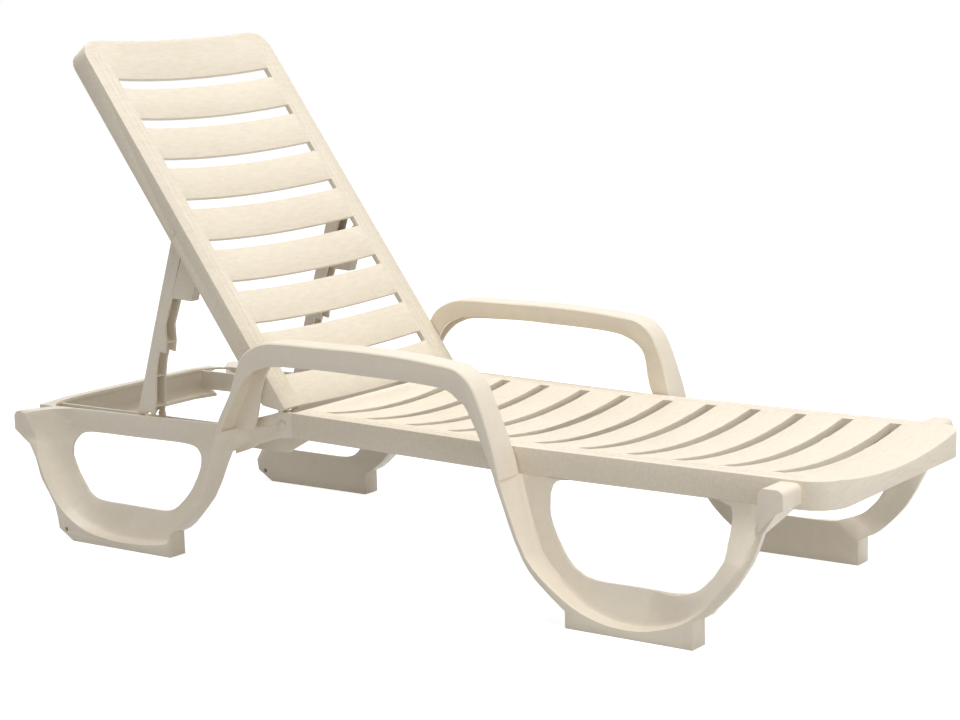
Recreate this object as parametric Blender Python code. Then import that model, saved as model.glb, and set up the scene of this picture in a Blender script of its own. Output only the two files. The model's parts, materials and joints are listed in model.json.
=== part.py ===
"""A stacking chaise longue in moulded resin, in metres, with +Z up.

The origin is on the floor under the middle of the base, +X points to the foot end and +Y to the
sitter's left. The base is one moulding on the real object. It is made here as its members: the slatted
seat deck, four loop legs, two armrests, the inner rails and the head beam. The back turns on two pins
in the ears of the rear legs. Two notched prop arms hang from pins in the skirts of the back, and their
feet stand over small catches between the rear rails.
"""

import math

import bmesh
import bpy
from mathutils import Vector

# Clearances between neighbours, and how far a cutter runs past what it cuts
GAP = 0.0003
PLAY = 0.0004
OVERRUN = 0.05

# Walls of the mouldings
WALL = 0.006
SKIN = 0.008
ARM_EDGE = 0.0025

# Base
BASE_LENGTH = 1.774
BASE_HALF_WIDTH = 0.318
FOOT_END_X = BASE_LENGTH / 2
HEAD_END_X = -BASE_LENGTH / 2

# Seat deck
REAR_FRAME_LENGTH = 0.678
DECK_MARGIN = 0.0615
DECK_CORNER_RADIUS = 0.058
DECK_RIM = 0.008
DECK_STRIP = 0.0405
SEAT_HEIGHT = 0.2845
RAIL_DEPTH = 0.0465
SEAT_DISH = 0.0185
SEAT_SKIN = 0.0145
SEAT_LIP_SHARES = (0.3, 0.6, 0.9)
SEAT_RISE = 0.0105
SEAT_RISE_RUN = 0.465
SLOT_WIDTH = 0.023
SLOT_PITCH = 0.0924
FOOT_SLOT_MARGIN = 0.104
HEAD_SLOT_MARGIN = 0.030
DECK_HEAD_X = HEAD_END_X + REAR_FRAME_LENGTH
DECK_HALF_WIDTH = BASE_HALF_WIDTH - DECK_MARGIN
DECK_STRIP_INNER = DECK_HALF_WIDTH - DECK_STRIP
DECK_SLOT_RUN = FOOT_END_X - DECK_HEAD_X - FOOT_SLOT_MARGIN - HEAD_SLOT_MARGIN - SLOT_WIDTH
SLOT_COUNT = int(DECK_SLOT_RUN / SLOT_PITCH) + 1
RAIL_BOTTOM = SEAT_HEIGHT - RAIL_DEPTH
DISH_COLUMN_SHARES = (0.25, 0.5, 0.75)
CORNER_TURN_SHARES = (0.2, 0.4, 0.6, 0.75, 0.88)

# Rear rails, inner rails and head beam
REAR_RAIL_STEP = 0.001
REAR_RAIL_DROP = 0.0325
FLANGE_RISE = 0.006
INNER_RAIL_DROP = 0.005
INNER_RAIL_DEPTH = 0.040
INNER_RAIL_END_DEPTH = 0.045
INNER_RAIL_END_LENGTH = 0.023
INNER_RAIL_RAMP = 0.030
BEAM_RISE = 0.0015
BEAM_DEPTH = 0.066
BEAM_WIDTH = 0.022
BEAM_DIP = 0.004
BEAM_DIP_LENGTH = 0.070
GUSSET_RADIUS = 0.040
GUSSET_THICKNESS = 0.004
REAR_RAIL_FACE = DECK_HALF_WIDTH - REAR_RAIL_STEP
REAR_RAIL_TOP = SEAT_HEIGHT - REAR_RAIL_DROP
REAR_FLANGE_TOP = REAR_RAIL_TOP + FLANGE_RISE
INNER_RAIL_TOP = REAR_RAIL_TOP - INNER_RAIL_DROP
BEAM_TOP = REAR_RAIL_TOP + BEAM_RISE
EAR_INNER = REAR_RAIL_FACE - WALL

# Hinge of the back
HINGE_SETBACK = 0.027
HINGE_DROP = 0.0145
HINGE_PIN_RADIUS = 0.004
HINGE_HEAD_RADIUS = 0.0095
HINGE_HEAD_THICKNESS = 0.0015
HINGE_X = DECK_HEAD_X - HINGE_SETBACK
HINGE_Z = SEAT_HEIGHT - HINGE_DROP
HINGE = Vector((HINGE_X, 0, HINGE_Z))

# Back, measured up its slope from the hinge and forward from the hinge to its front face
BACK_ANGLE = math.radians(54.4)
BACK_MARGIN = 0.053
BACK_TOP = 0.842
BACK_BOTTOM = 0.018
BACK_FACE = 0.033
BACK_SKIRT_DEPTH = 0.042
BACK_BOTTOM_RIM = 0.042
BACK_CORNER_RADIUS = 0.038
BACK_DISH = 0.016
BACK_DISH_RUN = 0.070
BACK_TOP_DISH_SHARE = 0.7
BACK_SKIRT_END = 0.050
BACK_SLOT_WIDTH = 0.0235
BACK_SLOT_PITCH = 0.0924
TOP_SLOT_MARGIN = 0.0885
BOTTOM_SLOT_MARGIN = 0.020
BACK_STRIP = 0.049
LUG_RADIUS = 0.012
LUG_THICKNESS = 0.0055
LUG_ROOT = 0.062
BACK_HALF_WIDTH = BASE_HALF_WIDTH - BACK_MARGIN
BACK_STRIP_INNER = BACK_HALF_WIDTH - BACK_STRIP
BACK_SLOT_RUN = BACK_TOP - TOP_SLOT_MARGIN - BOTTOM_SLOT_MARGIN - BACK_SKIRT_END - BACK_SLOT_WIDTH
BACK_SLOT_COUNT = int(BACK_SLOT_RUN / BACK_SLOT_PITCH) + 1
LUG_OUTER = EAR_INNER - GAP
BACK_UP = Vector((-math.cos(BACK_ANGLE), 0, math.sin(BACK_ANGLE)))
BACK_OUT = Vector((math.sin(BACK_ANGLE), 0, math.cos(BACK_ANGLE)))

# Catches between the rear rails
CATCH_INSET = 0.3026
CATCH_RISE = 0.0015
CATCH_RADIUS = 0.0045
CATCH_DROP = 0.0099
CATCH_PLAY = 0.0004
CATCH_X = HEAD_END_X + CATCH_INSET
CATCH_Z = REAR_RAIL_TOP + CATCH_RISE

# Prop arms, measured down each arm from its pivot and forward to its notched edge
PIVOT_UP = 0.423
PIVOT_OUT = 0.005
PROP_FRONT = 0.0246
PROP_HEAD_RADIUS = 0.015
PROP_SIDE_GAP = 0.0025
PROP_INNER_GAP = 0.005
PROP_WIDTH = 0.031
PROP_FLANGE = 0.0055
PROP_WEB = 0.005
PROP_RIB = 0.004
PROP_PIN_RADIUS = 0.004
PROP_PIN_HEAD_RADIUS = 0.0055
PROP_PIN_HEAD_THICKNESS = 0.001
PROP_APEX_SHARE = (0.956, 0.3)
PROP_EDGE_SHARES = (
    (1.0, -0.73), (0.994, 0.07), PROP_APEX_SHARE, (0.975, 1.0), (0.878, 0.81), (0.767, 0.37),
    (0.679, 0.2), (0.63, 0.24), (0.627, 0.88), (0.57, 0.77), (0.492, 0.33), (0.321, 0.49),
)
PROP_BACK_SHARES = ((0.047, -0.65), (0.539, -0.73))
PROP_RIB_SHARES = (0.566, 0.761, 0.913)
PROP_OUTER = EAR_INNER - PROP_SIDE_GAP
PROP_INNER = PROP_OUTER - PROP_WIDTH
INNER_RAIL_FACE = PROP_INNER - PROP_INNER_GAP
PIVOT = HINGE + BACK_UP * PIVOT_UP + BACK_OUT * PIVOT_OUT
PROP_RUN_X = PIVOT.x - CATCH_X
PROP_RUN_Z = PIVOT.z - CATCH_Z - CATCH_DROP
PROP_REACH = math.hypot(PROP_RUN_X, PROP_RUN_Z)
PROP_FOOT_TURN = math.asin(PROP_APEX_SHARE[1] * PROP_FRONT / PROP_REACH)
PROP_LENGTH = PROP_REACH * math.cos(PROP_FOOT_TURN) / PROP_APEX_SHARE[0]
PROP_LEAN = math.atan2(PROP_RUN_X, PROP_RUN_Z) + PROP_FOOT_TURN
PROP_DOWN = Vector((-math.sin(PROP_LEAN), 0, -math.cos(PROP_LEAN)))
PROP_FORWARD = Vector((math.cos(PROP_LEAN), 0, -math.sin(PROP_LEAN)))

# Stops under the back, measured down the slope and back from the pins of the prop arms
STOP_INNER_WIDTH = 0.015
STOP_LENGTH = 0.119
STOP_DROP = 0.102
STOP_CHANNEL_OUTER = PROP_OUTER - PROP_FLANGE - PLAY
STOP_SHARES = ((1.0, -0.578), (0.882, -0.382), (0.782, 1), (0.429, 1), (0.42, -0.52), (0.664, -1.0))
STOP_WING_SHARES = (
    (1.0, -0.578), (0.882, -0.382), (0.782, 1), (0.521, 1), (0.471, -0.137), (0.345, -0.265),
    (0.735, -0.961),
)

# Loop legs, measured from the ribbon side to the flared side
FOOT_WIDTH = 0.028
FOOT_HEIGHT = 0.047
FRONT_LEG_SETBACK = 0.054
FRONT_LEG_LENGTH = 0.557
REAR_LEG_LENGTH = 0.563
ROOT_FILLET = 0.008
ROOT_FILLET_EDGE = 0.002
FRONT_FLARE_WIDTH = 0.018
REAR_FLARE_WIDTH = 0.050
FLARE_WALL = 0.012
FRONT_LUG_DEPTH = 0.0215
FRONT_LUG_RADIUS = 0.011
FRONT_CORNER_RELIEF = 0.010
FRONT_LUG_START_SHARE = 0.923
FRONT_LUG_FOOT_SHARES = ((0.912, 0.945), (0.935, 0.94), (0.953, 0.983), (0.978, 1.021))
FRONT_LUG_END_SHARES = (1.046, 1.182)
REAR_CORNER_RELIEF = 0.010
AXLE_HOLE_RADIUS = 0.005
AXLE_HOLE_INSET = 0.130
AXLE_HOLE_HEIGHT = 0.0215
LEG_FOOT_FACE = BASE_HALF_WIDTH - FOOT_WIDTH
FRONT_FLARE_FACE = BASE_HALF_WIDTH - FRONT_FLARE_WIDTH
REAR_FLARE_FACE = BASE_HALF_WIDTH - REAR_FLARE_WIDTH
FRONT_LUG_ROOT = DECK_HALF_WIDTH - FRONT_LUG_DEPTH
FRONT_LEG_START = FOOT_END_X - FRONT_LEG_SETBACK - FRONT_LEG_LENGTH
REAR_LEG_START = HEAD_END_X + REAR_LEG_LENGTH
LEG_CENTRE_SHARE = (0.485, 0.61)
RIBBON_TURNS = (-75, -18, 95, 120)
FLARE_LEVEL_SHARES = (0, 0.35, 0.65, 0.85, 1)
RIBBON_FACE_SHARES = (0, 0, 0, 0.12, 1)
LUG_HEIGHT_SHARE = 1.01

FRONT_HOLE_SHARES = (
    (0.5, 1.0), (0.25, 1.0), (0.19, 0.99), (0.16, 0.955), (0.149, 0.88), (0.154, 0.735), (0.18, 0.6),
    (0.214, 0.482), (0.25, 0.394), (0.298, 0.338), (0.355, 0.321), (0.45, 0.323), (0.55, 0.322),
    (0.62, 0.327), (0.67, 0.358), (0.714, 0.409), (0.76, 0.513), (0.792, 0.634), (0.79, 0.769),
    (0.785, 0.88), (0.776, 0.95), (0.735, 0.996),
)
FRONT_LIP_SHARES = (
    (0.025, 1.1), (0.039, 0.975), (0.066, 0.794), (0.101, 0.588), (0.135, 0.441), (0.178, 0.34),
    (0.233, 0.244), (0.289, 0.164), (0.345, 0.109), (0.427, 0.067), (0.522, 0.067), (0.591, 0.101),
    (0.657, 0.155), (0.732, 0.269), (0.811, 0.458), (0.867, 0.643), (0.901, 0.819), (0.932, 0.992),
)
FRONT_RIM_SHARES = (
    (0.007, 1.1), (0.022, 0.975), (0.052, 0.798), (0.09, 0.571), (0.133, 0.391), (0.181, 0.277),
    (0.267, 0.122),
)
FRONT_FOOT_SHARES = ((0.267, 0.0), (0.706, 0.0), (0.706, 0.197))
FRONT_HEEL_SHARES = (
    (0.706, 0.197), (0.75, 0.244), (0.838, 0.45), (0.889, 0.634), (0.923, 0.798), (0.953, 0.983),
)
FRONT_LUG_SHARES = ((0.978, 1.021), (0.985, 1.12), (0.97, 1.15))
FRONT_TOP_SHARES = ((0.925, 1.15), (0.06, 1.12))
FRONT_BLEND_SHARES = (0.56, 0.99)
FRONT_SWELL_SHARES = (0.87, 0.923)

REAR_HOLE_SHARES = (
    (0.45, 0.835), (0.3, 0.838), (0.235, 0.822), (0.209, 0.775), (0.203, 0.7), (0.213, 0.615),
    (0.237, 0.505), (0.27, 0.413), (0.31, 0.338), (0.36, 0.307), (0.45, 0.305), (0.55, 0.306),
    (0.64, 0.308), (0.69, 0.32), (0.726, 0.362), (0.76, 0.442), (0.79, 0.52), (0.812, 0.629),
    (0.812, 0.72), (0.79, 0.79), (0.735, 0.827), (0.6, 0.832),
)
REAR_LIP_SHARES = (
    (0.032, 1.04), (0.053, 0.921), (0.081, 0.77), (0.122, 0.528), (0.16, 0.409), (0.21, 0.313),
    (0.25, 0.23), (0.285, 0.107), (0.391, 0.067), (0.522, 0.056), (0.645, 0.083), (0.737, 0.159),
    (0.815, 0.294), (0.876, 0.524), (0.917, 0.802), (0.948, 0.984),
)
REAR_RIM_SHARES = (
    (0.014, 1.04), (0.037, 0.921), (0.068, 0.77), (0.109, 0.528), (0.148, 0.401), (0.195, 0.29),
    (0.242, 0.21), (0.272, 0.179),
)
REAR_FOOT_SHARES = ((0.272, 0.0), (0.736, 0.0), (0.803, 0.087))
REAR_HEEL_SHARES = ((0.803, 0.087), (0.822, 0.278), (0.879, 0.46), (0.904, 0.631), (0.933, 0.734))
REAR_LUG_SHARES = ((1.0, 0.84), (1.0, 0.95), (0.991, 0.98), (0.973, 0.993))
REAR_TOP_SHARES = ((0.917, 0.993), (0.88, 0.996), (0.045, 1.022))
REAR_BLEND_SHARES = (0.64, 0.845)
REAR_SWELL_SHARES = (0.83, 0.95)

# Ears that carry the hinge pins, and their fillets into the rear legs
EAR_REACH = 0.022
EAR_LENGTH = DECK_HEAD_X - REAR_LEG_START + EAR_REACH
EAR_SHARES = (
    (0.947, 0.328), (0.618, 0.694), (0.458, 0.823), (0.334, 0.93), (0.217, 1.048), (0.0, 1.038),
    (0.0, 0.02), (0.253, -0.038), (0.633, -0.403), (0.808, -0.661), (1.056, -0.919),
)
EAR_FILLET = 0.040
FILLET_LEVEL_SHARES = ((0.055, 0.83, 0.12), (0.045, 0.875, 0.6), (0.037, 0.921, 0.95), (0.014, 1.04, 1.0))
FILLET_TURN_SHARES = (0, 0.2, 0.4, 0.6, 0.8, 1)

# Armrests: top line, edge of the outer skirt and edge of the inner skirt at each station
ARM_HEIGHT = 0.436
ARM_WIDTH = 0.0515
ARM_COLUMN_SETBACK = 0.022
ARM_INNER = BASE_HALF_WIDTH - ARM_WIDTH
ARM_HEAD_X = REAR_LEG_START - ARM_COLUMN_SETBACK
ARM_SPAN = FRONT_LEG_START + ARM_COLUMN_SETBACK - ARM_HEAD_X
ARM_RISE = ARM_HEIGHT - RAIL_BOTTOM
ARM_STATION_SHARES = (
    (-0.011, 0.01, 0.008, 0.01, 0.065, 0.01), (0.011, 0.202, 0.03, 0.187, 0.093, 0.172),
    (0.04, 0.364, 0.062, 0.343, 0.107, 0.328), (0.065, 0.505, 0.085, 0.48, 0.118, 0.465),
    (0.084, 0.667, 0.107, 0.586, 0.132, 0.601), (0.11, 0.828, 0.14, 0.682, 0.158, 0.722),
    (0.151, 0.929, 0.174, 0.737, 0.193, 0.783), (0.219, 0.995, 0.224, 0.778, 0.242, 0.828),
    (0.391, 1.0, 0.391, 0.793, 0.399, 0.843), (0.547, 1.0, 0.547, 0.783, 0.547, 0.828),
    (0.702, 0.98, 0.689, 0.773, 0.699, 0.813), (0.797, 0.952, 0.793, 0.755, 0.789, 0.79),
    (0.866, 0.92, 0.84, 0.729, 0.828, 0.758), (0.911, 0.81, 0.868, 0.67, 0.861, 0.707),
    (0.942, 0.619, 0.897, 0.599, 0.89, 0.597), (0.976, 0.307, 0.944, 0.311, 0.914, 0.29),
    (1.0, 0.01, 0.984, 0.0, 0.976, -0.01), (1.006, -0.061, 0.994, -0.071, 0.99, -0.071),
)
ARM_SPREAD_SHARES = (0.944, 1.0)

# Finishes
SATIN_RESIN = (0.72, 0.64, 0.51)
SLAT_RESIN = (0.80, 0.73, 0.60)
PIN_RESIN = (0.66, 0.58, 0.46)
ROUGHNESS = 0.38
SMOOTH_ANGLE = math.radians(32)
ARC_STEP = math.radians(14)
STATION_STEP = math.radians(7)
STATION_MERGE = math.radians(0.9)
PIN_SIDES = 16
SPLINE_STEPS = 3


def clear_scene():
    """Remove whatever the scene holds."""
    for item in list(bpy.data.objects):
        bpy.data.objects.remove(item, do_unlink=True)


def resin(name, colour):
    """Make the moulded resin of one sub-part."""
    material = bpy.data.materials.new(name + "_resin")
    material.use_nodes = True
    shader = material.node_tree.nodes["Principled BSDF"]
    shader.inputs["Base Color"].default_value = (*colour, 1)
    shader.inputs["Roughness"].default_value = ROUGHNESS
    shader.inputs["Metallic"].default_value = 0
    return material


def smoothstep(value, low, high):
    """Go smoothly from 0 at low to 1 at high."""
    share = min(max((value - low) / (high - low), 0), 1)
    return share * share * (3 - 2 * share)


def mix(first, second, share):
    """Blend two numbers."""
    return first + (second - first) * share


def spline(points, steps):
    """Run a smooth curve through points of any number of values."""
    curve = []
    last = len(points) - 1
    for index in range(last):
        before = points[max(index - 1, 0)]
        start = points[index]
        end = points[index + 1]
        after = points[min(index + 2, last)]
        for step in range(steps):
            t = step / steps
            curve.append(tuple(
                0.5 * (2 * b + (c - a) * t + (2 * a - 5 * b + 4 * c - d) * t ** 2
                       + (3 * b - a - 3 * c + d) * t ** 3)
                for a, b, c, d in zip(before, start, end, after)
            ))
    curve.append(tuple(points[last]))
    return curve


def rounded(corners):
    """Turn closed corners (across, height, radius) into an outline with round corners."""
    outline = []
    count = len(corners)
    for index, (across, height, radius) in enumerate(corners):
        corner = Vector((across, height))
        before = (Vector(corners[index - 1][:2]) - corner).normalized()
        after = (Vector(corners[(index + 1) % count][:2]) - corner).normalized()
        half = before.angle(after) / 2
        reach = radius / math.tan(half)
        centre = corner + (before + after).normalized() * radius / math.sin(half)
        start = corner + before * reach - centre
        turn = start.angle_signed(corner + after * reach - centre)
        steps = max(1, round(abs(turn) / ARC_STEP))
        for step in range(steps + 1):
            angle = -turn * step / steps
            outline.append((
                centre.x + start.x * math.cos(angle) - start.y * math.sin(angle),
                centre.y + start.x * math.sin(angle) + start.y * math.cos(angle),
            ))
    return outline


def circle(across, height, radius):
    """List the points of a circle."""
    turns = [2 * math.pi * step / PIN_SIDES for step in range(PIN_SIDES)]
    return [(across + radius * math.cos(turn), height + radius * math.sin(turn)) for turn in turns]


def mesh_object(name, points, faces, material, origin):
    """Make one closed object from points in world space, with its origin where given."""
    mesh = bpy.data.meshes.new(name)
    mesh.from_pydata([Vector(point) - origin for point in points], [], faces)
    shape = bmesh.new()
    shape.from_mesh(mesh)
    bmesh.ops.recalc_face_normals(shape, faces=shape.faces)
    shape.to_mesh(mesh)
    shape.free()
    mesh.materials.append(material)
    piece = bpy.data.objects.new(name, mesh)
    piece.location = origin
    bpy.context.scene.collection.objects.link(piece)
    finish_mesh(piece)
    return piece


def finish_mesh(piece):
    """Shade a piece smooth, apart from its real edges."""
    piece.data.shade_smooth()
    piece.data.set_sharp_from_angle(angle=SMOOTH_ANGLE)


def loft(name, loops, closed, material, origin=Vector()):
    """Skin closed loops of equal count, one after the other, and close or cap the ends."""
    count = len(loops[0])
    points = [point for loop in loops for point in loop]
    rings = len(loops) if closed else len(loops) - 1
    faces = []
    for ring in range(rings):
        near = ring * count
        far = (ring + 1) % len(loops) * count
        for index in range(count):
            following = (index + 1) % count
            faces.append((near + index, near + following, far + following, far + index))
    if not closed:
        faces.append(tuple(range(count)))
        faces.append(tuple(range(len(points) - count, len(points))))
    return mesh_object(name, points, faces, material, origin)


def plate(name, outline, side, inner, outer, material, origin=Vector()):
    """Extrude an outline in X and Z across Y, between two distances from the middle."""
    loops = [[(x, side * out, z) for x, z in outline] for out in (inner, outer)]
    return loft(name, loops, False, material, origin)


def slab(name, outline, bottom, top, material):
    """Extrude an outline in X and Y upwards."""
    loops = [[(x, y, z) for x, y in outline] for z in (bottom, top)]
    return loft(name, loops, False, material)


def box(name, low, high, material):
    """Make a plain block between two corners."""
    outline = ((low[0], low[1]), (high[0], low[1]), (high[0], high[1]), (low[0], high[1]))
    return slab(name, outline, low[2], high[2], material)


def combine(piece, tool, operation):
    """Add a shape to a piece or cut it away, and remove the tool."""
    modifier = piece.modifiers.new(operation, "BOOLEAN")
    modifier.operation = operation
    modifier.solver = "EXACT"
    modifier.object = tool
    graph = bpy.context.evaluated_depsgraph_get()
    shape = bpy.data.meshes.new_from_object(piece.evaluated_get(graph))
    piece.modifiers.clear()
    piece.data = shape
    bpy.data.objects.remove(tool, do_unlink=True)
    finish_mesh(piece)


def slatted_panel(name, stations, column_shares, depth_at, point_at, material, origin=Vector()):
    """Build a slatted moulding from a grid of cells: 0 is open, 1 is skin and 2 is skirt or rim.

    A station holds where its inner and its edge points lie along the panel and half across it.
    """
    inner = [-share for share in reversed(column_shares)] + [0] + list(column_shares)
    last = len(inner) + 1

    def corner(i, j, level):
        along, edge_along, half, edge_half = stations[i]
        if j == 0:
            return point_at(i, edge_along, -edge_half, -1, level)
        if j == last:
            return point_at(i, edge_along, edge_half, 1, level)
        return point_at(i, along, inner[j - 1] * half, inner[j - 1], level)

    def depth(i, j):
        inside = 0 <= i < len(stations) - 1 and 0 <= j < last
        return depth_at(i, j, last) if inside else 0

    points = []
    numbers = {}

    def number(key):
        if key not in numbers:
            numbers[key] = len(points)
            points.append(corner(*key))
        return numbers[key]

    faces = []
    for i in range(len(stations) - 1):
        for j in range(last):
            for k in range(depth(i, j)):
                sides = {
                    (0, 0, -1): ((i, j, k), (i + 1, j, k), (i + 1, j + 1, k), (i, j + 1, k)),
                    (0, 0, 1): ((i, j, k + 1), (i, j + 1, k + 1), (i + 1, j + 1, k + 1), (i + 1, j, k + 1)),
                    (-1, 0, 0): ((i, j, k), (i, j + 1, k), (i, j + 1, k + 1), (i, j, k + 1)),
                    (1, 0, 0): ((i + 1, j, k), (i + 1, j, k + 1), (i + 1, j + 1, k + 1), (i + 1, j + 1, k)),
                    (0, -1, 0): ((i, j, k), (i, j, k + 1), (i + 1, j, k + 1), (i + 1, j, k)),
                    (0, 1, 0): ((i, j + 1, k), (i + 1, j + 1, k), (i + 1, j + 1, k + 1), (i, j + 1, k + 1)),
                }
                for (di, dj, dk), keys in sides.items():
                    filled = 0 <= k + dk < depth(i + di, j + dj)
                    if not filled:
                        faces.append([number(key) for key in keys])
    return mesh_object(name, points, faces, material, origin)


def panel_columns(strip_inner, half):
    """List the columns of a panel as shares of its half width inside the rim."""
    strip_share = strip_inner / half
    return [share * strip_share for share in DISH_COLUMN_SHARES] + [strip_share, 1]


def panel_stations(start, rim, slots, corner_start, end, half, radius):
    """List the stations of a panel whose far end has round corners."""
    stations = [(start, start, half - rim, half), (start + rim, start + rim, half - rim, half)]
    for edge in slots:
        stations.append((edge, edge, half - rim, half))
    stations.append((corner_start, corner_start, half - rim, half))
    arc_centre = half - radius
    for turn_share in CORNER_TURN_SHARES:
        turn = turn_share * math.pi / 2
        stations.append((
            corner_start + (radius - rim) * math.sin(turn),
            corner_start + radius * math.sin(turn),
            arc_centre + (radius - rim) * math.cos(turn),
            arc_centre + radius * math.cos(turn),
        ))
    stations.append((end, end, arc_centre - rim, arc_centre))
    return stations


def seat_top(x):
    """Give the height of the seat rails at a place along the deck."""
    rise_start = DECK_HEAD_X + SEAT_RISE_RUN
    return SEAT_HEIGHT + SEAT_RISE * max(rise_start - x, 0) / SEAT_RISE_RUN


def dish_at(y, strip_inner, depth):
    """Give how far a slat sags at a distance from the middle."""
    return depth * max(0, 1 - (y / strip_inner) ** 2)


def make_seat_deck():
    """Make the slatted seat with its side rails and its round foot end."""
    half_inside = DECK_HALF_WIDTH - DECK_RIM
    slots = [DECK_HEAD_X + HEAD_SLOT_MARGIN * share for share in SEAT_LIP_SHARES]
    for index in reversed(range(SLOT_COUNT)):
        foot_edge = FOOT_END_X - FOOT_SLOT_MARGIN - index * SLOT_PITCH
        slots += [foot_edge - SLOT_WIDTH, foot_edge]
    stations = panel_stations(
        DECK_HEAD_X, DECK_RIM, slots, FOOT_END_X - DECK_CORNER_RADIUS, FOOT_END_X,
        DECK_HALF_WIDTH, DECK_CORNER_RADIUS,
    )
    slot_cells = {2 + len(SEAT_LIP_SHARES) + 2 * index for index in range(SLOT_COUNT)}

    def depth_at(i, j, last):
        if j in (0, last - 1) or i in (0, len(stations) - 2):
            return 2
        return 0 if i in slot_cells and 1 < j < last - 2 else 1

    def point_at(i, x, y, share, level):
        lip = smoothstep(x, DECK_HEAD_X, DECK_HEAD_X + HEAD_SLOT_MARGIN * SEAT_LIP_SHARES[-1])
        top = seat_top(x) - lip * dish_at(y, DECK_STRIP_INNER, SEAT_DISH)
        heights = (top, top - SEAT_SKIN, seat_top(x) - RAIL_DEPTH)
        return (x, y, heights[level])

    columns = panel_columns(DECK_STRIP_INNER, half_inside)
    return slatted_panel(
        "seat_deck", stations, columns, depth_at, point_at, resin("seat_deck", SLAT_RESIN)
    )


def back_point(up, across, out):
    """Place a point of the back: up its slope, across it and forward of the hinge."""
    place = HINGE + BACK_UP * up + BACK_OUT * out
    return (place.x, across, place.z)


def back_outline(points):
    """Place an outline of the back in X and Z."""
    places = [back_point(up, 0, out) for up, out in points]
    return [(place[0], place[2]) for place in places]


def make_backrest():
    """Make the slatted back with its skirts, hinge lugs and prop stops."""
    material = resin("backrest", SLAT_RESIN)
    half_inside = BACK_HALF_WIDTH - WALL
    strip_share = BACK_STRIP_INNER / half_inside
    slots = [BACK_SKIRT_END]
    for index in reversed(range(BACK_SLOT_COUNT)):
        top_edge = BACK_TOP - TOP_SLOT_MARGIN - index * BACK_SLOT_PITCH
        slots += [top_edge - BACK_SLOT_WIDTH, top_edge]
    stations = panel_stations(
        BACK_BOTTOM, WALL, slots, BACK_TOP - BACK_CORNER_RADIUS, BACK_TOP,
        BACK_HALF_WIDTH, BACK_CORNER_RADIUS,
    )
    slot_cells = {3 + 2 * index for index in range(BACK_SLOT_COUNT)}
    skirt_foot = BACK_FACE - 2 * WALL

    def depth_at(i, j, last):
        if j in (0, last - 1) or i == len(stations) - 2 or (i == 0 and 1 < j < last - 2):
            return 2
        return 0 if i in slot_cells and 1 < j < last - 2 else 1

    def point_at(i, up, y, share, level):
        fade = mix(BACK_TOP_DISH_SHARE, 1, smoothstep(BACK_TOP - up, 0, BACK_DISH_RUN))
        face = BACK_FACE - dish_at(y, BACK_STRIP_INNER, BACK_DISH * fade)
        skirt_share = smoothstep(up, BACK_BOTTOM, BACK_SKIRT_END)
        skirt = mix(skirt_foot, BACK_FACE - BACK_SKIRT_DEPTH, skirt_share)
        if i < 2 and abs(share) < (strip_share + 1) / 2:
            skirt = BACK_FACE - BACK_BOTTOM_RIM
        return back_point(up, y, (face, face - SKIN, skirt)[level])

    columns = panel_columns(BACK_STRIP_INNER, half_inside)
    back = slatted_panel("backrest", stations, columns, depth_at, point_at, material, HINGE)
    for side in (-1, 1):
        combine(back, hinge_lug(side, material), "UNION")
        combine(back, prop_stop(STOP_SHARES, side, STOP_CHANNEL_OUTER, material), "UNION")
        combine(back, prop_stop(STOP_WING_SHARES, side, PROP_OUTER, material), "UNION")
        hinge_hole = circle(HINGE.x, HINGE.z, HINGE_PIN_RADIUS + PLAY)
        combine(back, plate("hinge_bore", hinge_hole, side, LUG_OUTER - OVERRUN / 2, LUG_OUTER + WALL,
                            material), "DIFFERENCE")
        prop_hole = circle(PIVOT.x, PIVOT.z, PROP_PIN_RADIUS + PLAY)
        combine(back, plate("prop_bore", prop_hole, side, BACK_HALF_WIDTH - 2 * WALL,
                            BACK_HALF_WIDTH + WALL, material), "DIFFERENCE")
    return back


def hinge_lug(side, material):
    """Make the lug under the back that turns on the hinge pin."""
    buried = BACK_FACE - SKIN + WALL / 2
    turns = [math.radians(degrees) for degrees in range(123, 304, 20)]
    outline = [(LUG_RADIUS * math.cos(turn), LUG_RADIUS * math.sin(turn)) for turn in turns]
    outline += [(LUG_ROOT, buried), (BACK_BOTTOM + WALL / 2, buried)]
    return plate("lug", back_outline(outline), side, LUG_OUTER - LUG_THICKNESS, LUG_OUTER, material)


def prop_stop(shares, side, outer, material):
    """Make a block under the back that the prop arm stops against."""
    buried = BACK_FACE - SKIN + WALL / 2
    outline = []
    for down, out in shares:
        outline.append((PIVOT_UP - STOP_LENGTH * down, buried if out == 1 else PIVOT_OUT + STOP_DROP * out))
    inner = STOP_CHANNEL_OUTER - STOP_INNER_WIDTH
    return plate("stop", back_outline(outline), side, inner, outer, material)


def prop_point(down, forward):
    """Place a point of a prop arm at rest in X and Z."""
    place = PIVOT + PROP_DOWN * down + PROP_FORWARD * forward
    return (place.x, place.z)


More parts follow.
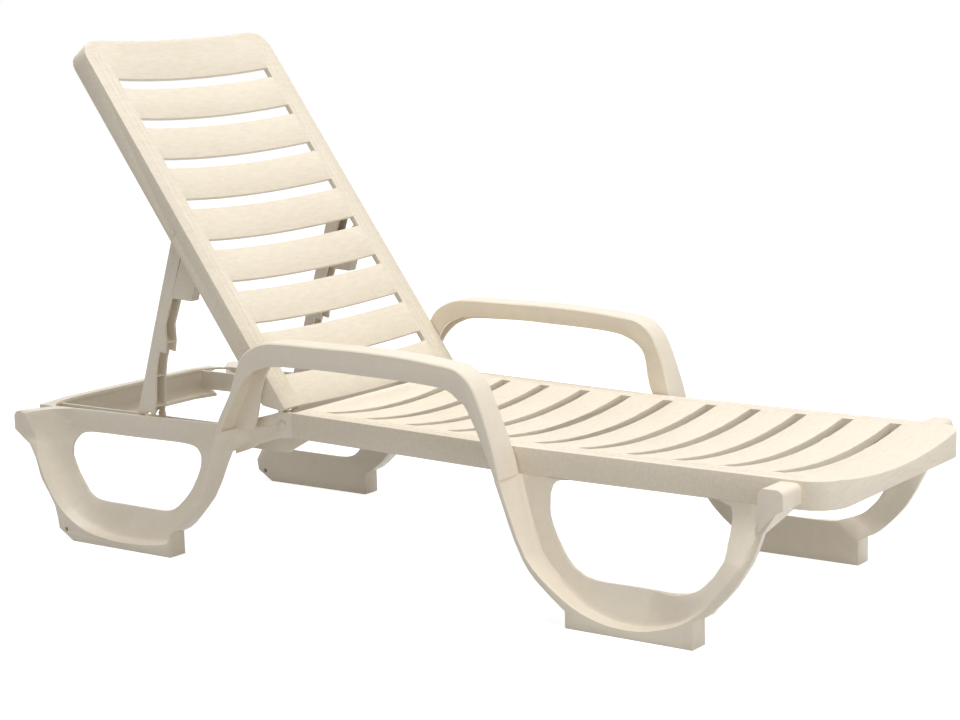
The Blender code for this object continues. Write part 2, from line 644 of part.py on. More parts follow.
def make_prop_arm(side, name):
    """Make one notched prop arm: a channel with an open front, three ribs and a V foot."""
    material = resin(name, SATIN_RESIN)
    edge = [(PROP_LENGTH * down, PROP_FRONT * forward) for down, forward in PROP_EDGE_SHARES]
    rear = [(PROP_LENGTH * down, PROP_FRONT * forward) for down, forward in PROP_BACK_SHARES]
    turns = [math.radians(degrees) for degrees in range(90, 271, 20)]
    head = [(PROP_HEAD_RADIUS * math.cos(turn), PROP_HEAD_RADIUS * math.sin(turn)) for turn in turns]
    outline = [prop_point(down, forward) for down, forward in head + rear + edge]
    inner = PROP_INNER
    origin = Vector((PIVOT.x, side * PROP_OUTER, PIVOT.z))
    arm = plate(name, outline, side, inner, PROP_OUTER, material, origin)
    web_back = PROP_FRONT * PROP_BACK_SHARES[1][1]
    starts = [PROP_HEAD_RADIUS + WALL] + [PROP_LENGTH * share + PROP_RIB for share in PROP_RIB_SHARES]
    ends = [PROP_LENGTH * share for share in PROP_RIB_SHARES] + [PROP_LENGTH + OVERRUN]
    for start, end in zip(starts, ends):
        pocket = [(start, web_back + PROP_WEB), (end, web_back + PROP_WEB), (end, OVERRUN), (start, OVERRUN)]
        tool = plate("pocket", [prop_point(*point) for point in pocket], side, inner + PROP_FLANGE,
                     PROP_OUTER - PROP_FLANGE, material)
        combine(arm, tool, "DIFFERENCE")
    hole = circle(PIVOT.x, PIVOT.z, PROP_PIN_RADIUS + PLAY)
    combine(arm, plate("bore", hole, side, inner - WALL, PROP_OUTER + WALL, material), "DIFFERENCE")
    return arm


def make_pin(name, side, place, radius, inner, face, head_radius, head_thickness):
    """Make a headed pin that lies across the chaise."""
    material = resin(name, PIN_RESIN)
    origin = Vector((place.x, side * face, place.z))
    shank = circle(place.x, place.z, radius)
    head = circle(place.x, place.z, head_radius)
    steps = ((shank, inner), (shank, face + GAP), (head, face + GAP), (head, face + GAP + head_thickness))
    loops = [[(x, side * out, z) for x, z in outline] for outline, out in steps]
    return loft(name, loops, False, material, origin)


def ray_reach(outline, centre, turn):
    """Give how far a closed outline lies from the centre in one direction."""
    along = Vector((math.cos(turn), math.sin(turn)))
    reach = 0
    for index, end in enumerate(outline):
        start = outline[index - 1]
        first = Vector(start) - centre
        edge = Vector(end) - Vector(start)
        cross = along.x * edge.y - along.y * edge.x
        if cross == 0:
            continue
        distance = (first.x * edge.y - first.y * edge.x) / cross
        share = (first.x * along.y - first.y * along.x) / cross
        if -1e-5 <= share <= 1 + 1e-5:
            reach = max(reach, distance)
    return reach


def turn_of(point, centre):
    """Give the direction of a point from the centre, from 0 to a full turn."""
    return math.atan2(point[1] - centre.y, point[0] - centre.x) % (2 * math.pi)


def leg_stations(soft, sharp, centre):
    """List the directions in which a loop leg is sampled."""
    turns = sorted(turn_of(point, centre) for point in sharp)
    steps = round(2 * math.pi / STATION_STEP)
    softer = [turn_of(point, centre) for point in soft] + [STATION_STEP * step for step in range(steps)]
    for turn in softer:
        gaps = [abs((turn - other + math.pi) % (2 * math.pi) - math.pi) for other in turns]
        if min(gaps) > STATION_MERGE:
            turns.append(turn)
    return sorted(turns)


def loop_leg(name, side, leg, material):
    """Skin a loop leg around its D-shaped opening, from its measures in the leg dictionary."""
    length, height = leg["length"], leg["height"]

    def local(points):
        return [(along * length, high * height) for along, high in points]

    hole_points = local(leg["hole"])
    hole = spline(hole_points[-1:] + hole_points + hole_points[:2], SPLINE_STEPS)[SPLINE_STEPS:-SPLINE_STEPS - 1]
    lip = spline(local(leg["lip"]), SPLINE_STEPS) + local(leg["top"])
    rim = spline(local(leg["rim"]), SPLINE_STEPS) + local(leg["foot"])
    rim += spline(local(leg["heel"]), SPLINE_STEPS) + local(leg["lug"]) + local(leg["top"])
    centre = Vector(local([LEG_CENTRE_SHARE])[0])
    sharp = local(leg["rim"][-1:] + leg["foot"] + leg["lug"] + leg["top"] + leg["rim"][:1])
    column_turn = turn_of(local(leg["rim"])[0], centre)
    lug_turn = turn_of(local(leg["lug"])[-1], centre)
    loops = [[] for _ in range(10)]
    for turn in leg_stations(hole_points, sharp, centre):
        along = Vector((math.cos(turn), math.sin(turn)))
        hole_reach = ray_reach(hole, centre, turn)
        rim_reach = max(ray_reach(rim, centre, turn), hole_reach + ROOT_FILLET)
        lip_reach = min(max(ray_reach(lip, centre, turn), hole_reach + ROOT_FILLET), rim_reach)
        ribbon = ribbon_share(turn)
        on_top = lug_turn + STATION_MERGE / 2 < turn < column_turn - STATION_MERGE / 2
        span = lip_reach - hole_reach
        ribbon_shares = (0, 0.45, 1 - ROOT_FILLET / span, 1 - ROOT_FILLET_EDGE / span, 1)
        for level in range(5):
            share = mix(FLARE_LEVEL_SHARES[level], max(ribbon_shares[level], 0), ribbon)
            spot = centre + along * (hole_reach + share * span)
            loops[level].append((spot, leg_face(leg, spot, level, ribbon, on_top)))
        rim_spot = centre + along * rim_reach
        rim_face = leg_face(leg, rim_spot, 4, ribbon, on_top)
        rear = rim_rear(leg, rim_spot, rim_face, ribbon, on_top)
        loops[5].append((rim_spot, rim_face))
        loops[6].append((rim_spot, rear))
        for level in (2, 1, 0):
            level_spot, level_face = loops[level][-1]
            level_rear = mix(min(level_face - WALL, rear), web_face(leg, level_spot) - WALL, ribbon)
            loops[9 - level].append((level_spot, level_rear))
    placed = []
    for loop in loops:
        row = [(leg["start"] + leg["direction"] * spot.x, side * across, spot.y) for spot, across in loop]
        placed.append(row)
    return loft(name, placed, True, material)


def ribbon_share(turn):
    """Tell the ribbon side of a leg, 1, from its flared side, 0."""
    bend = (math.degrees(turn) + 180) % 360 - 180
    low, flat, steep, high = RIBBON_TURNS
    return max(1 - smoothstep(bend, low, flat), smoothstep(bend, steep, high))


def web_face(leg, spot):
    """Give how far out the plain web of a leg lies at a height."""
    high = leg["blend"][1] * leg["height"]
    return mix(leg["rail_face"], LEG_FOOT_FACE, min(max((high - spot.y) / high, 0), 1))


def rim_rear(leg, spot, face, ribbon, on_top):
    """Give how far out the back edge of a leg's rim lies."""
    low = Vector((spot.x, max(spot.y, FOOT_HEIGHT)))
    web = web_face(leg, low) - WALL
    if not on_top:
        web += leg["relief"] * ribbon * smoothstep(spot.y, FOOT_HEIGHT, 2 * FOOT_HEIGHT)
    on_foot = 1 - smoothstep(spot.y, FOOT_HEIGHT, 1.5 * FOOT_HEIGHT)
    rear = mix(face - FLARE_WALL, web, max(ribbon, on_foot, float(on_top)))
    above = spot.y > LUG_HEIGHT_SHARE * leg["height"] and not ribbon
    return leg["lug_root"] if above else rear


def leg_face(leg, spot, level, ribbon, on_top):
    """Give how far out the outer face of a leg lies, from the hole at level 0 to the lip at level 4."""
    web = web_face(leg, spot)
    swell_low, swell_high = [share * leg["length"] for share in leg["swell"]]
    blend_low, blend_high = [share * leg["height"] for share in leg["blend"]]
    rail = mix(leg["rail_face"], BASE_HALF_WIDTH, smoothstep(spot.x, swell_low, swell_high))
    if on_top:
        return rail
    flare = mix(max(leg["flare_face"], web), BASE_HALF_WIDTH, leg["face"][level])
    flare = mix(flare, rail, smoothstep(spot.y, blend_low, blend_high))
    return mix(flare, mix(web, BASE_HALF_WIDTH, RIBBON_FACE_SHARES[level]), ribbon)


FRONT_LEG = {
    "start": FRONT_LEG_START, "length": FRONT_LEG_LENGTH, "height": RAIL_BOTTOM, "direction": 1,
    "hole": FRONT_HOLE_SHARES, "lip": FRONT_LIP_SHARES, "rim": FRONT_RIM_SHARES,
    "foot": FRONT_FOOT_SHARES, "heel": FRONT_HEEL_SHARES, "lug": FRONT_LUG_SHARES,
    "top": FRONT_TOP_SHARES, "blend": FRONT_BLEND_SHARES, "swell": FRONT_SWELL_SHARES,
    "face": (0, 0.3, 0.62, 0.85, 1), "rail_face": DECK_HALF_WIDTH, "flare_face": FRONT_FLARE_FACE,
    "lug_root": FRONT_LUG_ROOT, "relief": FRONT_CORNER_RELIEF,
}

REAR_LEG = {
    "start": REAR_LEG_START, "length": REAR_LEG_LENGTH, "height": REAR_RAIL_TOP, "direction": -1,
    "hole": REAR_HOLE_SHARES, "lip": REAR_LIP_SHARES, "rim": REAR_RIM_SHARES,
    "foot": REAR_FOOT_SHARES, "heel": REAR_HEEL_SHARES, "lug": REAR_LUG_SHARES,
    "top": REAR_TOP_SHARES, "blend": REAR_BLEND_SHARES, "swell": REAR_SWELL_SHARES,
    "face": (0, 0.06, 0.3, 0.68, 1), "rail_face": REAR_RAIL_FACE, "flare_face": REAR_FLARE_FACE,
    "lug_root": EAR_INNER, "relief": REAR_CORNER_RELIEF,
}


def deck_envelope(material):
    """Make a cutter that follows the deck's plan, a gap larger, from its underside up."""
    radius = DECK_CORNER_RADIUS + GAP
    centre_x = FOOT_END_X - DECK_CORNER_RADIUS
    centre_y = DECK_HALF_WIDTH - DECK_CORNER_RADIUS
    arc = []
    for turn_share in (0, *CORNER_TURN_SHARES, 1):
        turn = turn_share * math.pi / 2
        arc.append((centre_x + radius * math.sin(turn), centre_y + radius * math.cos(turn)))
    half = [(0, arc[0][1])] + arc
    outline = half + [(x, -y) for x, y in reversed(half)]
    return slab("envelope", outline, RAIL_BOTTOM - GAP, SEAT_HEIGHT + OVERRUN, material)


def front_lug(side, material):
    """Make the block at the top of a front leg that stands under the corner of the deck."""
    start = FRONT_LEG_START + FRONT_LEG_LENGTH * FRONT_LUG_START_SHARE
    end = FRONT_LEG_START + FRONT_LEG_LENGTH
    low, high = [RAIL_BOTTOM * share for share in FRONT_LUG_END_SHARES]
    foot = [(FRONT_LEG_START + FRONT_LEG_LENGTH * u, RAIL_BOTTOM * h) for u, h in FRONT_LUG_FOOT_SHARES]
    corners = [(x, z, ARM_EDGE) for x, z in foot]
    corners += [(end, low, ARM_EDGE), (end, high, FRONT_LUG_RADIUS), (start, high, FRONT_LUG_RADIUS)]
    return plate("lug", rounded(corners), side, FRONT_LUG_ROOT, BASE_HALF_WIDTH, material)


def make_front_leg(side, name):
    """Make a front loop leg with its lug, cut to the underside and the side of the seat deck."""
    material = resin(name, SATIN_RESIN)
    leg = loop_leg(name, side, FRONT_LEG, material)
    column_end = FRONT_LEG_START + FRONT_LEG_LENGTH * FRONT_LUG_START_SHARE
    low = (0, -BASE_HALF_WIDTH - OVERRUN, RAIL_BOTTOM - GAP)
    high = (column_end, BASE_HALF_WIDTH + OVERRUN, SEAT_HEIGHT + OVERRUN)
    combine(leg, box("column_cut", low, high, material), "DIFFERENCE")
    combine(leg, front_lug(side, material), "UNION")
    combine(leg, deck_envelope(material), "DIFFERENCE")
    return leg


def make_ear(side, material):
    """Make the ear that reaches from the rear leg to the hinge and the deck."""
    start = DECK_HEAD_X - GAP
    outline = []
    for along, high in EAR_SHARES:
        outline.append((start - EAR_LENGTH * along, HINGE_Z - RAIL_DEPTH / 2 + RAIL_DEPTH * high))
    return plate("ear", outline, side, EAR_INNER, REAR_RAIL_FACE, material)


def make_ear_fillet(side, material):
    """Make the hollow fillet between the ear and the flange of the rear leg."""
    corner_y = REAR_RAIL_FACE - WALL / 2
    loops = []
    for along, high, size in FILLET_LEVEL_SHARES:
        corner_x = REAR_LEG_START - REAR_LEG_LENGTH * along - WALL / 2
        corner_z = REAR_RAIL_TOP * high
        loop = [(corner_x, side * corner_y, corner_z)]
        for turn_share in FILLET_TURN_SHARES:
            turn = turn_share * math.pi / 2
            reach_x = corner_x + size * EAR_FILLET * (1 - math.sin(turn))
            reach_y = corner_y + size * EAR_FILLET * (1 - math.cos(turn))
            loop.append((reach_x, side * reach_y, corner_z))
        loops.append(loop)
    return loft("fillet", loops, False, material)


def make_rear_leg(side, name):
    """Make a rear loop leg with its rail, its ear, its catch and its axle hole."""
    material = resin(name, SATIN_RESIN)
    leg = loop_leg(name, side, REAR_LEG, material)
    low = (REAR_LEG_START - REAR_LEG_LENGTH / 4, -BASE_HALF_WIDTH - OVERRUN, REAR_FLANGE_TOP - GAP)
    high = (0, BASE_HALF_WIDTH + OVERRUN, SEAT_HEIGHT + OVERRUN)
    combine(leg, make_ear_fillet(side, material), "UNION")
    combine(leg, box("column_cut", low, high, material), "DIFFERENCE")
    combine(leg, make_ear(side, material), "UNION")
    catch = circle(CATCH_X, CATCH_Z, CATCH_RADIUS)
    combine(leg, plate("catch", catch, side, PROP_OUTER + CATCH_PLAY, REAR_RAIL_FACE - WALL / 2, material), "UNION")
    bore = circle(HINGE.x, HINGE.z, HINGE_PIN_RADIUS + PLAY)
    combine(leg, plate("hinge_bore", bore, side, EAR_INNER - WALL, REAR_RAIL_FACE + WALL, material), "DIFFERENCE")
    axle = circle(HEAD_END_X + AXLE_HOLE_INSET, AXLE_HOLE_HEIGHT, AXLE_HOLE_RADIUS)
    combine(leg, plate("axle", axle, side, 0, BASE_HALF_WIDTH + OVERRUN, material), "DIFFERENCE")
    return leg


def make_inner_rail(side, name):
    """Make the inner wall of a rear rail, with the inner catch."""
    material = resin(name, SATIN_RESIN)
    head = HEAD_END_X + BEAM_WIDTH + GAP
    foot = DECK_HEAD_X - GAP
    step = foot - INNER_RAIL_END_LENGTH
    ramp = step - INNER_RAIL_RAMP
    end_top = HINGE_Z + 2 * WALL
    bottom = INNER_RAIL_TOP - INNER_RAIL_DEPTH
    outline = (
        (head, bottom), (ramp, bottom), (foot, end_top - INNER_RAIL_END_DEPTH), (foot, end_top),
        (step, end_top), (ramp, INNER_RAIL_TOP), (head, INNER_RAIL_TOP),
    )
    rail = plate(name, outline, side, INNER_RAIL_FACE - WALL, INNER_RAIL_FACE, material)
    boss = (
        (CATCH_X - 2 * CATCH_RADIUS, CATCH_Z - 3 * CATCH_RADIUS),
        (CATCH_X + 2 * CATCH_RADIUS, CATCH_Z - 3 * CATCH_RADIUS),
        (CATCH_X + CATCH_RADIUS, CATCH_Z + CATCH_RADIUS), (CATCH_X - CATCH_RADIUS, CATCH_Z + CATCH_RADIUS),
    )
    combine(rail, plate("boss", boss, side, INNER_RAIL_FACE - WALL, INNER_RAIL_FACE, material), "UNION")
    catch = circle(CATCH_X, CATCH_Z, CATCH_RADIUS)
    end = PROP_INNER - CATCH_PLAY
    combine(rail, plate("catch", catch, side, INNER_RAIL_FACE - WALL / 2, end, material), "UNION")
    return rail


def make_head_beam():
    """Make the cross beam at the head end, a channel open to the inside, with round gussets."""
    material = resin("head_beam", SATIN_RESIN)
    outer = HEAD_END_X
    inner = HEAD_END_X + BEAM_WIDTH
    bottom = BEAM_TOP - BEAM_DEPTH
    outline = (
        (outer, bottom), (inner, bottom), (inner, bottom + WALL), (outer + 2 * WALL, bottom + 2 * WALL),
        (outer + WALL, bottom + 4 * WALL), (outer + WALL, BEAM_TOP - 4 * WALL),
        (outer + 2 * WALL, BEAM_TOP - 2 * WALL), (inner, BEAM_TOP - WALL), (inner, BEAM_TOP), (outer, BEAM_TOP),
    )
    half = EAR_INNER - GAP
    level = half - BEAM_DIP_LENGTH
    loops = []
    for y, dip in ((-half, BEAM_DIP), (-level, 0), (level, 0), (half, BEAM_DIP)):
        loops.append([(x, y, z - dip) for x, z in outline])
    beam = loft("head_beam", loops, False, material)
    for side in (-1, 1):
        arc = [(inner - WALL / 2, side * half), (inner + GUSSET_RADIUS, side * half)]
        steps = round(math.pi / 2 / ARC_STEP)
        for step in range(1, steps):
            turn = step / steps * math.pi / 2
            arc.append((
                inner + GUSSET_RADIUS * (1 - math.sin(turn)),
                side * (half - GUSSET_RADIUS * (1 - math.cos(turn))),
            ))
        arc += [(inner, side * (half - GUSSET_RADIUS)), (inner - WALL / 2, side * (half - GUSSET_RADIUS))]
        top = BEAM_TOP - BEAM_DIP
        gusset = slab("gusset", arc, top - GUSSET_THICKNESS, top, material)
        combine(beam, gusset, "UNION")
    return beam


def make_armrest(side, name):
    """Make an armrest, a channel that bends down into both columns."""
    material = resin(name, SATIN_RESIN)
    loops = []
    for row in spline(ARM_STATION_SHARES, SPLINE_STEPS):
        top, outer_edge, inner_edge = [
            Vector((ARM_HEAD_X + ARM_SPAN * row[index], RAIL_BOTTOM + ARM_RISE * row[index + 1]))
            for index in (0, 2, 4)
        ]
        spread = smoothstep(row[0], *ARM_SPREAD_SHARES)
        inner = mix(ARM_INNER, DECK_HALF_WIDTH + GAP, spread)
        down_outer = (outer_edge - top).normalized()
        down_inner = (inner_edge - top).normalized()
        section = (
            (outer_edge, BASE_HALF_WIDTH), (top + down_outer * ARM_EDGE, BASE_HALF_WIDTH),
            (top, BASE_HALF_WIDTH - ARM_EDGE), (top, inner + ARM_EDGE),
            (top + down_inner * ARM_EDGE, inner), (inner_edge, inner), (inner_edge, inner + WALL),
            (top + down_inner * WALL, inner + WALL), (top + down_outer * WALL, BASE_HALF_WIDTH - WALL),
            (outer_edge, BASE_HALF_WIDTH - WALL),
        )
        loops.append([(spot.x, side * across, spot.y) for spot, across in section])
    arm = loft(name, loops, False, material)
    rear_low = (HEAD_END_X, -BASE_HALF_WIDTH - OVERRUN, 0)
    rear_high = (0, BASE_HALF_WIDTH + OVERRUN, REAR_FLANGE_TOP)
    combine(arm, box("rear_cut", rear_low, rear_high, material), "DIFFERENCE")
    front_low = (0, -BASE_HALF_WIDTH - OVERRUN, 0)
    front_high = (FOOT_END_X, BASE_HALF_WIDTH + OVERRUN, RAIL_BOTTOM)
    combine(arm, box("front_cut", front_low, front_high, material), "DIFFERENCE")
    return arm


def axis_empty(name, place, parent=None):
    """Mark a joint's axis with an empty."""
    empty = bpy.data.objects.new(name, None)
    empty.location = place
    bpy.context.scene.collection.objects.link(empty)
    if parent:
        attach(empty, parent)
    return empty


def attach(piece, parent):
    """Parent a piece and keep it where it is."""
    piece.location = piece.location - parent.matrix_world.translation
    piece.parent = parent
    bpy.context.view_layer.update()


def build():
    """Make every piece of the chaise."""
    clear_scene()
    make_seat_deck()
    make_head_beam()
    hinge_axis = axis_empty("back_hinge_axis", HINGE)
    bpy.context.view_layer.update()
    attach(make_backrest(), hinge_axis)
    prop_axis = axis_empty("prop_axis", PIVOT, hinge_axis)
    bpy.context.view_layer.update()
    for side, hand in ((-1, "right"), (1, "left")):
        make_front_leg(side, "front_leg_" + hand)
        make_rear_leg(side, "rear_leg_" + hand)
        make_inner_rail(side, "inner_rail_" + hand)
        make_armrest(side, "armrest_" + hand)
        attach(make_prop_arm(side, "prop_arm_" + hand), prop_axis)
        make_pin("hinge_pin_" + hand, side, HINGE, HINGE_PIN_RADIUS, LUG_OUTER - LUG_THICKNESS,
                 REAR_RAIL_FACE, HINGE_HEAD_RADIUS, HINGE_HEAD_THICKNESS)
        prop_pin = make_pin("prop_pin_" + hand, side, PIVOT, PROP_PIN_RADIUS, PROP_INNER,
                            BACK_HALF_WIDTH, PROP_PIN_HEAD_RADIUS, PROP_PIN_HEAD_THICKNESS)
        attach(prop_pin, prop_axis)


build()
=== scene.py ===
import json
import math

import bpy
from mathutils import Matrix, Vector
from mathutils.bvhtree import BVHTree


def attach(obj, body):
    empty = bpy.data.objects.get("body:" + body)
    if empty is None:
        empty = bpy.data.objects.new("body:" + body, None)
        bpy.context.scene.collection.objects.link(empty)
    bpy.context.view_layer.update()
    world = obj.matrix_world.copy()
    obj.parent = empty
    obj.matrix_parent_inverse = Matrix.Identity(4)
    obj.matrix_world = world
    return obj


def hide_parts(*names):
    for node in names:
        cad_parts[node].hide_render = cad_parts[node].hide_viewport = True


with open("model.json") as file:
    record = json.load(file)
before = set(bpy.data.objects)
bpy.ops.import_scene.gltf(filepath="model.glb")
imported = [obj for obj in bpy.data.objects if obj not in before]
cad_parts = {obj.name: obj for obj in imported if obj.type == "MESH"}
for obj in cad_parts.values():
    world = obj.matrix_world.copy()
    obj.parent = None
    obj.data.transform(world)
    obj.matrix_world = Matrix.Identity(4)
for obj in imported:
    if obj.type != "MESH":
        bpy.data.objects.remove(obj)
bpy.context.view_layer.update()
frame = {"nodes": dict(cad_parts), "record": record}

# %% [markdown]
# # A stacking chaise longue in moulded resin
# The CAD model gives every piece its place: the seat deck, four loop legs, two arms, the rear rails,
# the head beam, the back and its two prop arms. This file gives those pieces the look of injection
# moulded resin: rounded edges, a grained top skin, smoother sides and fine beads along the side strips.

nodes = frame["nodes"]
members_of_body = frame["record"]["behaviour"]["bodies"]

# %% [markdown]
# ## The camera
# The photograph was taken from the foot end, on the sitter's right, a little above the seat, with a long
# lens. A camera could be aimed at a target by eye, but here its place and its turn were worked out from
# the outline of the legs and the deck, so that the outline falls close to that in the photograph.

# %% Camera
CAMERA_PLACE = Vector((2.3865, -3.23828, 1.06733))
CAMERA_AZIMUTH = 0.62824
CAMERA_TILT = 0.17168
CAMERA_ROLL = -0.02827
CAMERA_LENS = 82.042
SENSOR_WIDTH = 36
VIEW_DEPTH = 100


def make_camera():
    """Place the camera and turn it as the photograph was taken."""
    aim = Vector((
        -math.sin(CAMERA_AZIMUTH) * math.cos(CAMERA_TILT),
        math.cos(CAMERA_AZIMUTH) * math.cos(CAMERA_TILT),
        -math.sin(CAMERA_TILT),
    ))
    level = Vector((math.cos(CAMERA_AZIMUTH), math.sin(CAMERA_AZIMUTH), 0))
    upright = level.cross(aim)
    across = level * math.cos(CAMERA_ROLL) + upright * math.sin(CAMERA_ROLL)
    above = upright * math.cos(CAMERA_ROLL) - level * math.sin(CAMERA_ROLL)
    bpy.ops.object.camera_add()
    camera = bpy.context.object
    camera.name = "photo_camera"
    turn = Matrix((across, above, -aim)).transposed().to_4x4()
    turn.translation = CAMERA_PLACE
    camera.matrix_world = turn
    camera.data.sensor_width = SENSOR_WIDTH
    camera.data.sensor_fit = "HORIZONTAL"
    camera.data.lens = CAMERA_LENS
    camera.data.clip_end = VIEW_DEPTH
    return camera


bpy.context.scene.camera = make_camera()
bpy.context.scene.view_settings.view_transform = "Standard"
print("camera", tuple(CAMERA_PLACE), "lens", CAMERA_LENS)

# %% [markdown]
# ## Resin colours
# The real chaise is one batch of beige resin, so every finish here goes between a light and a deeper
# beige. The beads are given a paler pair as painted highlight, standing in for the light that they catch
# more than the skin round them. Colours could be painted on, but a pair of values for each finish is
# easier to change.

# %% Colours and a helper for shader nodes
RESIN_LIGHT = (0.850, 0.766, 0.630, 1)
RESIN_DEEP = (0.775, 0.690, 0.555, 1)
RAIL_DEEP = (0.812, 0.730, 0.597, 1)
# The paler beige of the beads is painted highlight.
BEAD_PAINTED_HIGHLIGHT = (0.900, 0.840, 0.740, 1)
NODE_STEP = 200


def add_node(tree, kind, **values):
    """Add a shader node beside the last one, and set its sockets by name."""
    node = tree.nodes.new(kind)
    node.location = (NODE_STEP * len(tree.nodes), 0)
    for name, value in values.items():
        node.inputs[name.replace("_", " ")].default_value = value
    return node


print("light resin", RESIN_LIGHT, "deep resin", RESIN_DEEP)

# %% [markdown]
# ## Moulded resin
# The top skin of a resin chaise is grained by its mould and has a faint cloudy mottle. The sides of legs,
# rails and arms are smoother and a little glossier. A picture of resin could be wrapped round the pieces,
# but noise on object coordinates needs no seams, and it stays with each piece from any side. Three noises
# are mixed: a cloud, a fine speck and a broad drift. Their mix picks the colour, the speck also varies
# the gloss, and cloud and speck together give the grain its height.

# %% Resin finish
RESIN_IOR = 1.49
CLOUD_SCALE = 120
CLOUD_DETAIL = 4
SPECK_SCALE = 420
SPECK_DETAIL = 2
GRAIN_ROUGHNESS = 0.55
BROAD_SCALE = 5
BROAD_DETAIL = 2
SPECK_SHARE = 0.35
BROAD_SHARE = 0.2
DEEP_LEVEL = 0.38
LIGHT_LEVEL = 0.62
GLOSS_BELOW = 0.06
GLOSS_ABOVE = 0.08
GRAIN_STRENGTH = 0.5
MIX_FIRST = 2
MIX_SECOND = 3


def mix_values(tree, first, second, share):
    """Mix two values, with a share of the second."""
    mix = add_node(tree, "ShaderNodeMix", Factor=share)
    mix.data_type = "FLOAT"
    tree.links.new(first, mix.inputs[MIX_FIRST])
    tree.links.new(second, mix.inputs[MIX_SECOND])
    return mix.outputs[0]


def resin_colours(tree, level, light, deep):
    """Turn a level into a beige between the deep and the light one."""
    ramp = add_node(tree, "ShaderNodeValToRGB")
    start, end = ramp.color_ramp.elements
    start.position = DEEP_LEVEL
    start.color = deep
    end.position = LIGHT_LEVEL
    end.color = light
    tree.links.new(level, ramp.inputs["Fac"])
    return ramp.outputs["Color"]


def resin_finish(name, light, deep, roughness, grain_depth, streak):
    """Make moulded resin: a cloudy mottle, a fine grain and a soft gloss."""
    material = bpy.data.materials.new(name)
    material.use_nodes = True
    tree = material.node_tree
    links = tree.links
    shader = tree.nodes["Principled BSDF"]
    shader.inputs["IOR"].default_value = RESIN_IOR
    place = add_node(tree, "ShaderNodeTexCoord")
    stretch = add_node(tree, "ShaderNodeMapping", Scale=streak)
    cloud = add_node(
        tree, "ShaderNodeTexNoise", Scale=CLOUD_SCALE, Detail=CLOUD_DETAIL, Roughness=GRAIN_ROUGHNESS)
    speck = add_node(
        tree, "ShaderNodeTexNoise", Scale=SPECK_SCALE, Detail=SPECK_DETAIL, Roughness=GRAIN_ROUGHNESS)
    broad = add_node(tree, "ShaderNodeTexNoise", Scale=BROAD_SCALE, Detail=BROAD_DETAIL)
    links.new(place.outputs["Object"], stretch.inputs["Vector"])
    links.new(stretch.outputs["Vector"], cloud.inputs["Vector"])
    links.new(stretch.outputs["Vector"], speck.inputs["Vector"])
    links.new(place.outputs["Object"], broad.inputs["Vector"])
    grain = mix_values(tree, cloud.outputs["Fac"], speck.outputs["Fac"], SPECK_SHARE)
    mottle = mix_values(tree, grain, broad.outputs["Fac"], BROAD_SHARE)
    links.new(resin_colours(tree, mottle, light, deep), shader.inputs["Base Color"])
    gloss = add_node(
        tree, "ShaderNodeMapRange", To_Min=roughness - GLOSS_BELOW, To_Max=roughness + GLOSS_ABOVE)
    links.new(speck.outputs["Fac"], gloss.inputs["Value"])
    links.new(gloss.outputs["Result"], shader.inputs["Roughness"])
    bump = add_node(tree, "ShaderNodeBump", Strength=GRAIN_STRENGTH, Distance=grain_depth)
    links.new(grain, bump.inputs["Height"])
    links.new(bump.outputs["Normal"], shader.inputs["Normal"])
    return material


# %% [markdown]
# ## The four finishes
# On the real chaise one mould gives every part its own skin. The slats of seat and back are grained and
# their mottle is drawn out across the chaise, the legs, rails and arms are satin, and beads and pins are
# smooth. The paler beige of the beads is painted highlight. All four come from one function, so they stay
# one family of resin.

# %% The finishes and the pieces that wear them
slat_resin = resin_finish(
    "grained_slat_resin", RESIN_LIGHT, RESIN_DEEP, roughness=0.48, grain_depth=0.0009, streak=(1.3, 0.3, 1.3))
rail_resin = resin_finish(
    "satin_rail_resin", RESIN_LIGHT, RAIL_DEEP, roughness=0.34, grain_depth=0.0002, streak=(0.4, 0.4, 0.4))
# The bead finish is paler than the skin round it: painted highlight on the beads.
painted_highlight_bead_resin = resin_finish(
    "painted_highlight_bead_resin", BEAD_PAINTED_HIGHLIGHT, RESIN_LIGHT, roughness=0.30, grain_depth=0.0002, streak=(0.4, 0.4, 0.4))
pin_resin = resin_finish(
    "pin_resin", RESIN_LIGHT, RESIN_DEEP, roughness=0.40, grain_depth=0.0003, streak=(1, 1, 1))
SLATTED_PANELS = ("seat_deck", "backrest")


def resin_of(name):
    """Choose the finish of a piece by what it is."""
    if name in SLATTED_PANELS:
        return slat_resin
    return pin_resin if "pin" in name else rail_resin


for name, node in nodes.items():
    node.data.materials.clear()
    node.data.materials.append(resin_of(name))
    print(name, resin_of(name).name)

# %% [markdown]
# ## Where the base moulding flows on
# On the real chaise the deck, legs, arms, rails and head beam are one moulding. Where two of them meet
# there is no edge, so nothing is rounded there. The pieces could be joined into one, but they are kept
# apart because each is a part of its own. A search tree of the neighbours' surfaces tells which edges
# and corners lie at such a meeting.

# %% Neighbours and seams of the base moulding
SEAM_REACH = 0.0006
SEAM_LAP = 0.0002


def body_of_node(name):
    """Find the moving body that a CAD node belongs to."""
    return next(body for body, members in members_of_body.items() if name in members)


def is_moulded_in(name):
    """Tell whether a node is part of the base moulding, as all of the base is but its pins."""
    return name in members_of_body["base"] and "pin" not in name


def neighbour_surface(name):
    """Gather the surfaces of the other members of the base moulding."""
    points = []
    faces = []
    for other in members_of_body["base"]:
        if other == name or not is_moulded_in(other):
            continue
        start = len(points)
        points += [vertex.co for vertex in nodes[other].data.vertices]
        faces += [[start + number for number in face.vertices] for face in nodes[other].data.polygons]
    return BVHTree.FromPolygons(points, faces)


def close_seams(piece, surface):
    """Let the ends of a member meet the member that it flows into."""
    for vertex in piece.data.vertices:
        meeting = surface.find_nearest(vertex.co, SEAM_REACH)[0]
        if meeting is not None:
            step = meeting - vertex.co
            vertex.co += step + step.normalized() * SEAM_LAP


print("members of the base moulding", sum(is_moulded_in(name) for name in nodes))

